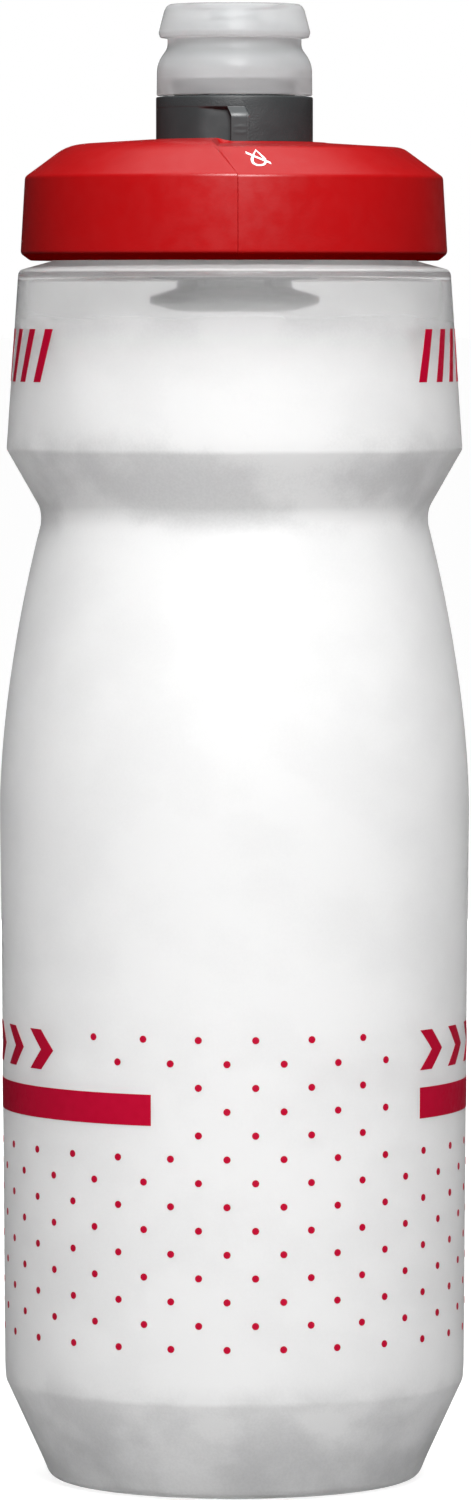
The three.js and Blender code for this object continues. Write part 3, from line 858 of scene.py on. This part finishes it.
def wedge(inner, outer, low, high, centre, width, steps=24):
    """Points and faces of a wedge of a ring, for cutting ports and windows."""
    angles = FRONT + np.radians(np.linspace(centre - width / 2, centre + width / 2, steps + 1))
    ring = [(inner, low), (outer, low), (outer, high), (inner, high)]
    points = [(r * math.cos(a), r * math.sin(a), z) for a in angles for r, z in ring]
    faces = [(0, 1, 2, 3), tuple(4 * steps + k for k in (3, 2, 1, 0))]
    for step in range(steps):
        for k in range(4):
            a, b = 4 * step + k, 4 * step + (k + 1) % 4
            faces.append((a, b, b + 4, a + 4))
    return points, faces


def slit(length, width, low, high, degrees):
    """Points and faces of a thin block on the axis, for cutting a slit."""
    cosine, sine = math.cos(math.radians(degrees)), math.sin(math.radians(degrees))
    corners = [(-1, -1), (1, -1), (1, 1), (-1, 1)]
    points = []
    for z in (low, high):
        for x, y in corners:
            x, y = x * length / 2, y * width / 2
            points.append((x * cosine - y * sine, x * sine + y * cosine, z))
    sides = [(k, (k + 1) % 4, (k + 1) % 4 + 4, k + 4) for k in range(4)]
    return points, [(3, 2, 1, 0), (4, 5, 6, 7)] + sides


def cut(piece, cutters, sharp=32):
    """Takes each cutter's solid away from the piece's mesh."""
    blades = []
    for points, faces in cutters:
        mesh = bpy.data.meshes.new("blade")
        mesh.from_pydata((np.array(points) * MM).tolist(), [], faces)
        weld(mesh)
        blade = bpy.data.objects.new("blade", mesh)
        bpy.context.scene.collection.objects.link(blade)
        blades.append(blade)
        modifier = piece.modifiers.new("cut", "BOOLEAN")
        modifier.object = blade
        modifier.operation = "DIFFERENCE"
        modifier.solver = "EXACT"
    bpy.context.view_layer.update()
    result = piece.evaluated_get(bpy.context.evaluated_depsgraph_get())
    finished = bpy.data.meshes.new_from_object(result)
    piece.modifiers.clear()
    piece.data = finished
    for blade in blades:
        bpy.data.objects.remove(blade)
    finished.shade_smooth()
    finished.set_sharp_from_angle(angle=math.radians(sharp))


# ---- Grip collar ----

RIB_DEG = 1.0  # where the pointer rib's top is
RIB_HALF = 1.35  # half the rib's width
RIB_HEIGHT = 0.9
RIB_LEAN = 0.75  # how far a rib's foot is to the side of its top
RIB_BEVEL_Z = COLLAR_BOTTOM_Z + 4.5
RIB_BOTTOM_Z = COLLAR_BOTTOM_Z + 0.3
RING_MARK_R, RING_MARK_HEIGHT = 0.62, 0.06  # the faint ring raised on each rib
COLLAR_TOP_Z = COLLAR_BOTTOM_Z + 7.5
SPIGOT_R = 10.0
SCOOP_DEPTH = 0.9
SCOOP_FROM, SCOOP_FULL = 0.83, 0.95  # as shares of the way from one rib round to the next


def collar_columns():
    """Angles round the collar, close together at the sides of the two ribs."""
    past = np.radians(RIB_HALF * 360 / (2 * math.pi * COLLAR_R))
    fine = past * np.array([0.0, 0.35, 0.7, 0.86, 0.93, 0.97, 1.0, 1.04, 1.1, 1.3])
    near = np.concatenate([-fine[:0:-1], fine])
    between = np.linspace(fine[-1], math.pi - fine[-1], 112)[1:-1]
    half = np.concatenate([near, between])
    return np.concatenate([half, half + math.pi])


def collar_shape(angle, radius, height):
    """Presses the finger scoops in and raises the leaning ribs. angle comes in measured from the pointer
    rib, and goes out as an angle of the whole bottle."""
    outside = radius > COLLAR_R - 0.3
    side = (angle + math.pi / 2) % math.pi - math.pi / 2
    across = np.abs(side) * COLLAR_R
    past = (angle % math.pi) / math.pi
    below_ledge = 1 - smooth_step(LEDGE_Z - 0.35, LEDGE_Z, height)
    off_rib = smooth_step(RIB_HALF, RIB_HALF + 0.12, across)
    scoop = SCOOP_DEPTH * smooth_step(SCOOP_FROM, SCOOP_FULL, past) * below_ledge * off_rib
    fall = (LEDGE_Z - height) / (LEDGE_Z - RIB_BEVEL_Z)
    bevel = np.clip(fall, 0, 1) - np.clip(0.35 - np.abs(fall - 1), 0, None) ** 2 / 1.4
    foot = smooth_step(RIB_BOTTOM_Z - 0.02, RIB_BOTTOM_Z + 0.02, height)
    on_rib = 1 - smooth_step(RIB_HALF - 0.05, RIB_HALF + 0.12, across)
    ridge = RIB_HEIGHT * bevel * foot * on_rib
    ring = (side * COLLAR_R) ** 2 + (height - (RIB_BOTTOM_Z + 1.9)) ** 2
    mark = RING_MARK_HEIGHT * np.exp(-(((np.sqrt(ring) - RING_MARK_R) / 0.1) ** 2)) * on_rib
    lean = RIB_LEAN * bevel * np.exp(-((side * COLLAR_R / 3.2) ** 2)) / COLLAR_R
    radius = np.where(outside, radius - scoop + ridge + mark, radius)
    angle = np.where(outside, angle + lean, angle)
    return angle + FRONT + math.radians(RIB_DEG), radius, height


def twist_collar():
    """The grip collar with its two pointer ribs, and the spigot on top that holds the nozzle."""
    sleeve = CHIMNEY_R + 0.3
    inner = CHIMNEY_BORE_R
    shelf_z = CHIMNEY_TOP_Z + 0.4
    low = COLLAR_BOTTOM_Z
    outer = rounded([((sleeve, low), 0.15), ((COLLAR_R, low), 0.2), ((COLLAR_R, low + 0.5), 0)])
    # Heights up the wall, each with the rows below it: close together where the ribs and scoops change
    climbs = [
        (RIB_BOTTOM_Z - 0.02, 1),
        (RIB_BOTTOM_Z + 0.02, 2),
        (RIB_BEVEL_Z - 0.5, 26),
        (LEDGE_Z - 0.4, 14),
        (LEDGE_Z + 0.05, 9),
    ]
    wall = []
    start_z = low + 0.5
    for end_z, rows in climbs:
        wall += straight((COLLAR_R, start_z), (COLLAR_R, end_z), rows)
        start_z = end_z
    top = rounded(
        [
            ((COLLAR_R, LEDGE_Z + 0.05), 0),
            ((COLLAR_R, COLLAR_TOP_Z), 0.3),
            ((SPIGOT_R - 0.5, COLLAR_TOP_Z), 0.15),
            ((SPIGOT_R - 0.5, SPIGOT_TOP_Z - 1.3), 0.15),
            ((SPIGOT_R, SPIGOT_TOP_Z - 0.9), 0.15),
            ((SPIGOT_R - 0.4, SPIGOT_TOP_Z), 0.2),
            ((inner, SPIGOT_TOP_Z), 0.2),
            ((inner, shelf_z), 0.1),
            ((sleeve, shelf_z), 0.1),
            ((sleeve, low), 0),
        ],
        steps=4,
    )
    outline = outer + wall + top[1:-1]
    points, faces = revolve(outline, shape=collar_shape, angles=collar_columns())
    return make_piece("grip_collar", "valve", GRIP, points, faces, ["twist_collar"])


# ---- Nozzle ----

SLIT_LENGTH, SLIT_WIDTH = 9, 0.25


def nozzle():
    """Milky bite nozzle: skirt, neck, bite flange and a dished tip with a crossed slit."""
    foot, tip = NOZZLE_BOTTOM_Z, NOZZLE_TOP_Z
    bore = SPIGOT_R + 0.35
    outline = rounded(
        [
            ((0, tip - 2.85), 0),
            ((6.9, tip - 2.85), 1.2),
            ((8.5, tip - 4.4), 1.2),
            ((8.7, foot + 7.2), 1.4),
            ((bore, foot + 4.6), 0.8),
            ((bore, foot), 0.2),
            ((NOZZLE_R, foot), 0.25),
            ((NOZZLE_R - 0.05, foot + 4.4), 1.6),
            ((11.6, foot + 5.8), 0.8),
            ((10.45, foot + 7.4), 0.7),
            ((10.45, foot + 8.85), 0.12),
            ((11.6, foot + 9.05), 0.15),
            ((11.85, foot + 9.8), 0.3),
            ((10.9, tip - 0.8), 0.5),
            ((10.3, tip - 0.02), 0.6),
            ((8.7, tip), 0.8),
            ((7.7, tip - 1.3), 1.1),
            ((4.0, tip - 1.7), 2.0),
            ((0, tip - 1.8), 0),
        ],
        steps=9,
    )
    points, faces = revolve(outline, columns=192)
    piece = make_piece("soft_nozzle", "nozzle", MILKY, points, faces, ["nozzle"], sharp=50)
    slits = [slit(SLIT_LENGTH, SLIT_WIDTH, tip - 4, tip, degrees) for degrees in (45, 135)]
    cut(piece, slits, sharp=50)
    return piece


# ---- Valve ----

GROOVE_DEPTH = 1.2
GROOVE_HALF = 0.9
POST_R = 5.0  # the post up the middle of the valve cage, seen through its windows
STEM_R, STEM_BORE_R = 9.0, 7.2
DISC_SWELL = 0.5  # how far the disc bulges below its flat underside
WINDOW_FROM_R, WINDOW_TO_R, WINDOW_WIDTH = 6.2, 10.5, 80
TUBE_R, TUBE_BORE_R = 8.2, 5.6  # the rotor's tube
ROTOR_FLOOR = 1.4
CORD_R = 0.6  # of the O-rings
LID_SEAL_BORE_R = 25.4
CAGE_O_RING_Z = CAGE_TOP_Z - 6.4
ROTOR_O_RING_Z = ROTOR_TOP_Z - 7.4
PORT_PLATE_Z = CAGE_BOTTOM_Z + 15.5
PORT_PLATE = 2.0
PORT_INNER_R, PORT_OUTER_R = 1.4, 5.2
PORT_WIDTH = 80


def groove(radius, z):
    """Corners of an O-ring's groove, on the way up."""
    floor, low, high = radius - GROOVE_DEPTH, z - GROOVE_HALF, z + GROOVE_HALF
    return [((radius, low), 0.1), ((floor, low), 0.15), ((floor, high), 0.15), ((radius, high), 0.1)]


def port_cutters(low, high, first):
    """Wedges that cut two opposite ports, the first at an angle from the front."""
    low, high = low - 0.2, high + 0.2
    return [wedge(PORT_INNER_R, PORT_OUTER_R, low, high, first + turn, PORT_WIDTH) for turn in (0, 180)]


def valve_cage():
    """The cup under the lid: a cup wall with an O-ring's groove, a port plate, a stem with two windows
    round a post, and a lens-shaped disc at the bottom."""
    cup = CAGE_R - 2.0
    disc_top = CAGE_BOTTOM_Z + 3.2
    window_top = disc_top + 2.4
    bell_z = CAGE_BOTTOM_Z + 7.3
    plate_top = PORT_PLATE_Z + PORT_PLATE
    corners = [
        ((0, CAGE_BOTTOM_Z - DISC_SWELL), 0),
        ((CAGE_R - 4.5, CAGE_BOTTOM_Z - DISC_SWELL), 3.0),
        ((CAGE_R, CAGE_BOTTOM_Z + 0.8), 0.6),
        ((CAGE_R, CAGE_BOTTOM_Z + 1.9), 0.6),
        ((STEM_R, disc_top), 0.5),
        ((STEM_R, window_top), 0.8),
        ((CAGE_R, bell_z), 1.0),
        *groove(CAGE_R, CAGE_O_RING_Z),
        ((CAGE_R, CAGE_TOP_Z), 0.2),
        ((cup, CAGE_TOP_Z), 0.2),
        ((cup, plate_top), 0.2),
        ((0, plate_top), 0),
    ]
    hollow = [
        ((POST_R, disc_top), 0.3),
        ((STEM_BORE_R, disc_top), 0.4),
        ((STEM_BORE_R, window_top + 1.5), 1.0),
        ((cup, bell_z + 2.2), 1.0),
        ((cup, PORT_PLATE_Z - 2), 0.8),
        ((6.2, PORT_PLATE_Z), 0.8),
        ((2.0, PORT_PLATE_Z), 0.3),
        ((POST_R, bell_z + 2.2), 0.8),
    ]
    points, faces = revolve(rounded(corners), columns=128)
    piece = make_piece("valve_cage_body", "lid", VALVE, points, faces, ["valve_cage"])
    cutters = [revolve(rounded(hollow, closed=True), columns=128)]
    for turn in (0, 180):
        cutters.append(wedge(WINDOW_FROM_R, WINDOW_TO_R, disc_top, window_top, turn, WINDOW_WIDTH))
    cutters += port_cutters(PORT_PLATE_Z, plate_top, 0)
    cut(piece, cutters)
    return piece


def rubber_piece(name, body, node, outline, columns=128):
    points, faces = revolve(outline, columns)
    return make_piece(name, body, RUBBER, points, faces, [node])


def o_ring(name, body, node, seat_r, z):
    """A round cord in the groove of a wall of radius seat_r."""
    middle = seat_r - GROOVE_DEPTH + CORD_R + 0.1
    turns = np.arange(24) * 2 * math.pi / 24
    outline = [(middle + CORD_R * math.cos(t), z + CORD_R * math.sin(t)) for t in turns]
    return rubber_piece(name, body, node, outline)


def lid_seal():
    """A flat washer, bevelled at its bottom inner edge."""
    low, high = bottom_of("lid_seal"), top_of("lid_seal")
    inner, outer = LID_SEAL_BORE_R, radius_of("lid_seal")
    corners = [
        ((inner, low + 0.4), 0.1),
        ((inner + 1, low), 0.2),
        ((outer, low), 0.15),
        ((outer, high), 0.15),
        ((inner, high), 0.15),
    ]
    return rubber_piece("lid_seal_ring", "lid_carriage", "lid_seal", rounded(corners, closed=True), 192)


def port_seal():
    """A rubber plate with the same two ports as the cage's plate under it."""
    low, high = bottom_of("port_seal"), top_of("port_seal")
    edge = radius_of("port_seal")
    corners = [((0, low), 0), ((edge, low), 0.15), ((edge, high), 0.15), ((0, high), 0)]
    piece = rubber_piece("port_seal_plate", "lid", "port_seal", rounded(corners))
    cut(piece, port_cutters(low, high, 0))
    return piece


def valve_rotor():
    """A disc with two ports, a quarter turn from the cage's when shut, under a tube up to the nozzle."""
    low, high = ROTOR_BOTTOM_Z, ROTOR_TOP_Z
    floor = low + ROTOR_FLOOR
    disc = radius_of("valve_rotor")
    corners = [
        ((0, low), 0),
        ((disc, low), 0.15),
        ((disc, CAGE_TOP_Z), 0.15),
        ((TUBE_R, CAGE_TOP_Z), 0.2),
        *groove(TUBE_R, ROTOR_O_RING_Z),
        ((TUBE_R, high), 0.3),
        ((TUBE_BORE_R, high), 0.3),
        ((TUBE_BORE_R, floor), 0.3),
        ((0, floor), 0),
    ]
    points, faces = revolve(rounded(corners), columns=128)
    piece = make_piece("rotor_tube", "valve", VALVE, points, faces, ["valve_rotor"])
    cut(piece, port_cutters(low, floor, 90))
    return piece


# ---- Stage, lights and camera ----

FLOOR_HALF = 40
FLOOR_Z = -0.0002  # just under the foot, so the two faces don't flicker
FLOOR_GLOW = 0.8

# Brightness of the world: round the bottle, above it, and through the clear part of a wall
ROOM, CEILING, THROUGH = 0.02, 1.9, 0.5
CEILING_FROM, CEILING_FULL = 0.72, 0.95  # as the sine of the angle up
LAMPS_AIM = (0, 0, 0.12)
# Lamps: place, width, height and power
KEY = ((0.06, -0.9, 0.9), 0.45, 0.45, 20.5)
BACK = ((0, 1.2, 0.12), 0.95, 0.95, 29)
RIM = ((0.5, 0.8, 0.05), 0.3, 0.6, 3)

LENS = 202.4
SENSOR_WIDTH = 36
CAMERA_AIM = (0.00016, 0, 0.11433)
CAMERA_DISTANCE = 1.322
CAMERA_TILT = 3.05


def floor():
    """A wide floor that glows where the camera sees it, so only a soft shade is left on it. Nothing mirrors
    it, and it isn't seen through a wall."""
    half = FLOOR_HALF
    corners = [(-half, -half), (half, -half), (half, half), (-half, half)]
    mesh = bpy.data.meshes.new("floor")
    mesh.from_pydata([(*corner, FLOOR_Z) for corner in corners], [], [(0, 1, 2, 3)])
    plane = bpy.data.objects.new("floor", mesh)
    bpy.context.scene.collection.objects.link(plane)
    material, tree, shader = nodes_of("floor")
    shader.inputs["Base Color"].default_value = (0.3, 0.3, 0.3, 1)
    shader.inputs["Roughness"].default_value = 0.9
    shader.inputs["Emission Color"].default_value = (1, 1, 1, 1)
    rays = add(tree, "ShaderNodeLightPath").outputs
    glow = spread(tree, rays["Is Camera Ray"], 0, FLOOR_GLOW, 0, 1)
    tree.links.new(glow, shader.inputs["Emission Strength"])
    mesh.materials.append(material)
    plane.visible_glossy = False
    plane.visible_transmission = False


def place_facing(item, spot, aim):
    """Puts a lamp or a camera at a spot, facing another."""
    item.location = spot
    item.rotation_mode = "QUATERNION"
    item.rotation_quaternion = (Vector(aim) - item.location).to_track_quat("-Z", "Y")
    bpy.context.scene.collection.objects.link(item)


def area_light(name, spot, width, height, power):
    light = bpy.data.lights.new(name, "AREA")
    light.shape = "RECTANGLE"
    light.size, light.size_y = width, height
    light.energy = power
    lamp = bpy.data.objects.new(name, light)
    place_facing(lamp, spot, LAMPS_AIM)
    return lamp


def studio_light():
    """A white backdrop to the eye. For light, a dark room with a bright ceiling, a key in front, and two
    lamps behind that soak through the bottle and aren't mirrored in it."""
    world = bpy.data.worlds.new("studio")
    bpy.context.scene.world = world
    world.use_nodes = True
    tree = world.node_tree
    background = tree.nodes["Background"]
    background.inputs["Color"].default_value = (1, 1, 1, 1)
    place = add(tree, "ShaderNodeTexCoord")
    parts = add(tree, "ShaderNodeSeparateXYZ")
    tree.links.new(place.outputs["Generated"], parts.inputs["Vector"])
    ceiling = spread(tree, parts.outputs["Z"], ROOM, CEILING, CEILING_FROM, CEILING_FULL)
    rays = add(tree, "ShaderNodeLightPath").outputs
    through = spread(tree, rays["Is Transmission Ray"], 0, THROUGH, 0, 1)
    unseen = spread(tree, rays["Is Camera Ray"], 1, 0, 0, 1)
    lighting = maths(tree, "MULTIPLY", maths(tree, "MAXIMUM", ceiling, through), unseen)
    tree.links.new(maths(tree, "ADD", lighting, rays["Is Camera Ray"]), background.inputs["Strength"])
    area_light("key", *KEY)
    for name, lamp in (("back", BACK), ("rim", RIM)):
        hidden = area_light(name, *lamp)
        hidden.visible_glossy = False
        hidden.visible_transmission = False


def camera():
    """The photo's own view: a long lens, a little above the bottle's middle."""
    data = bpy.data.cameras.new("camera")
    data.sensor_width = SENSOR_WIDTH
    data.lens = LENS
    view = bpy.data.objects.new("camera", data)
    tilt = math.radians(CAMERA_TILT)
    back_off = Vector((0, -math.cos(tilt), math.sin(tilt))) * CAMERA_DISTANCE
    place_facing(view, Vector(CAMERA_AIM) + back_off, CAMERA_AIM)
    bpy.context.scene.camera = view


bottle_body()
print_dots()
print_bars()
print_marks()
lid()
lid_icons()
twist_collar()
nozzle()
valve_cage()
valve_rotor()
lid_seal()
o_ring("cage_o_ring_cord", "lid", "cage_o_ring", CAGE_R, CAGE_O_RING_Z)
o_ring("rotor_o_ring_cord", "valve", "rotor_o_ring", TUBE_R, ROTOR_O_RING_Z)
port_seal()

floor()
studio_light()
camera()
bpy.context.scene.view_settings.view_transform = "Standard"
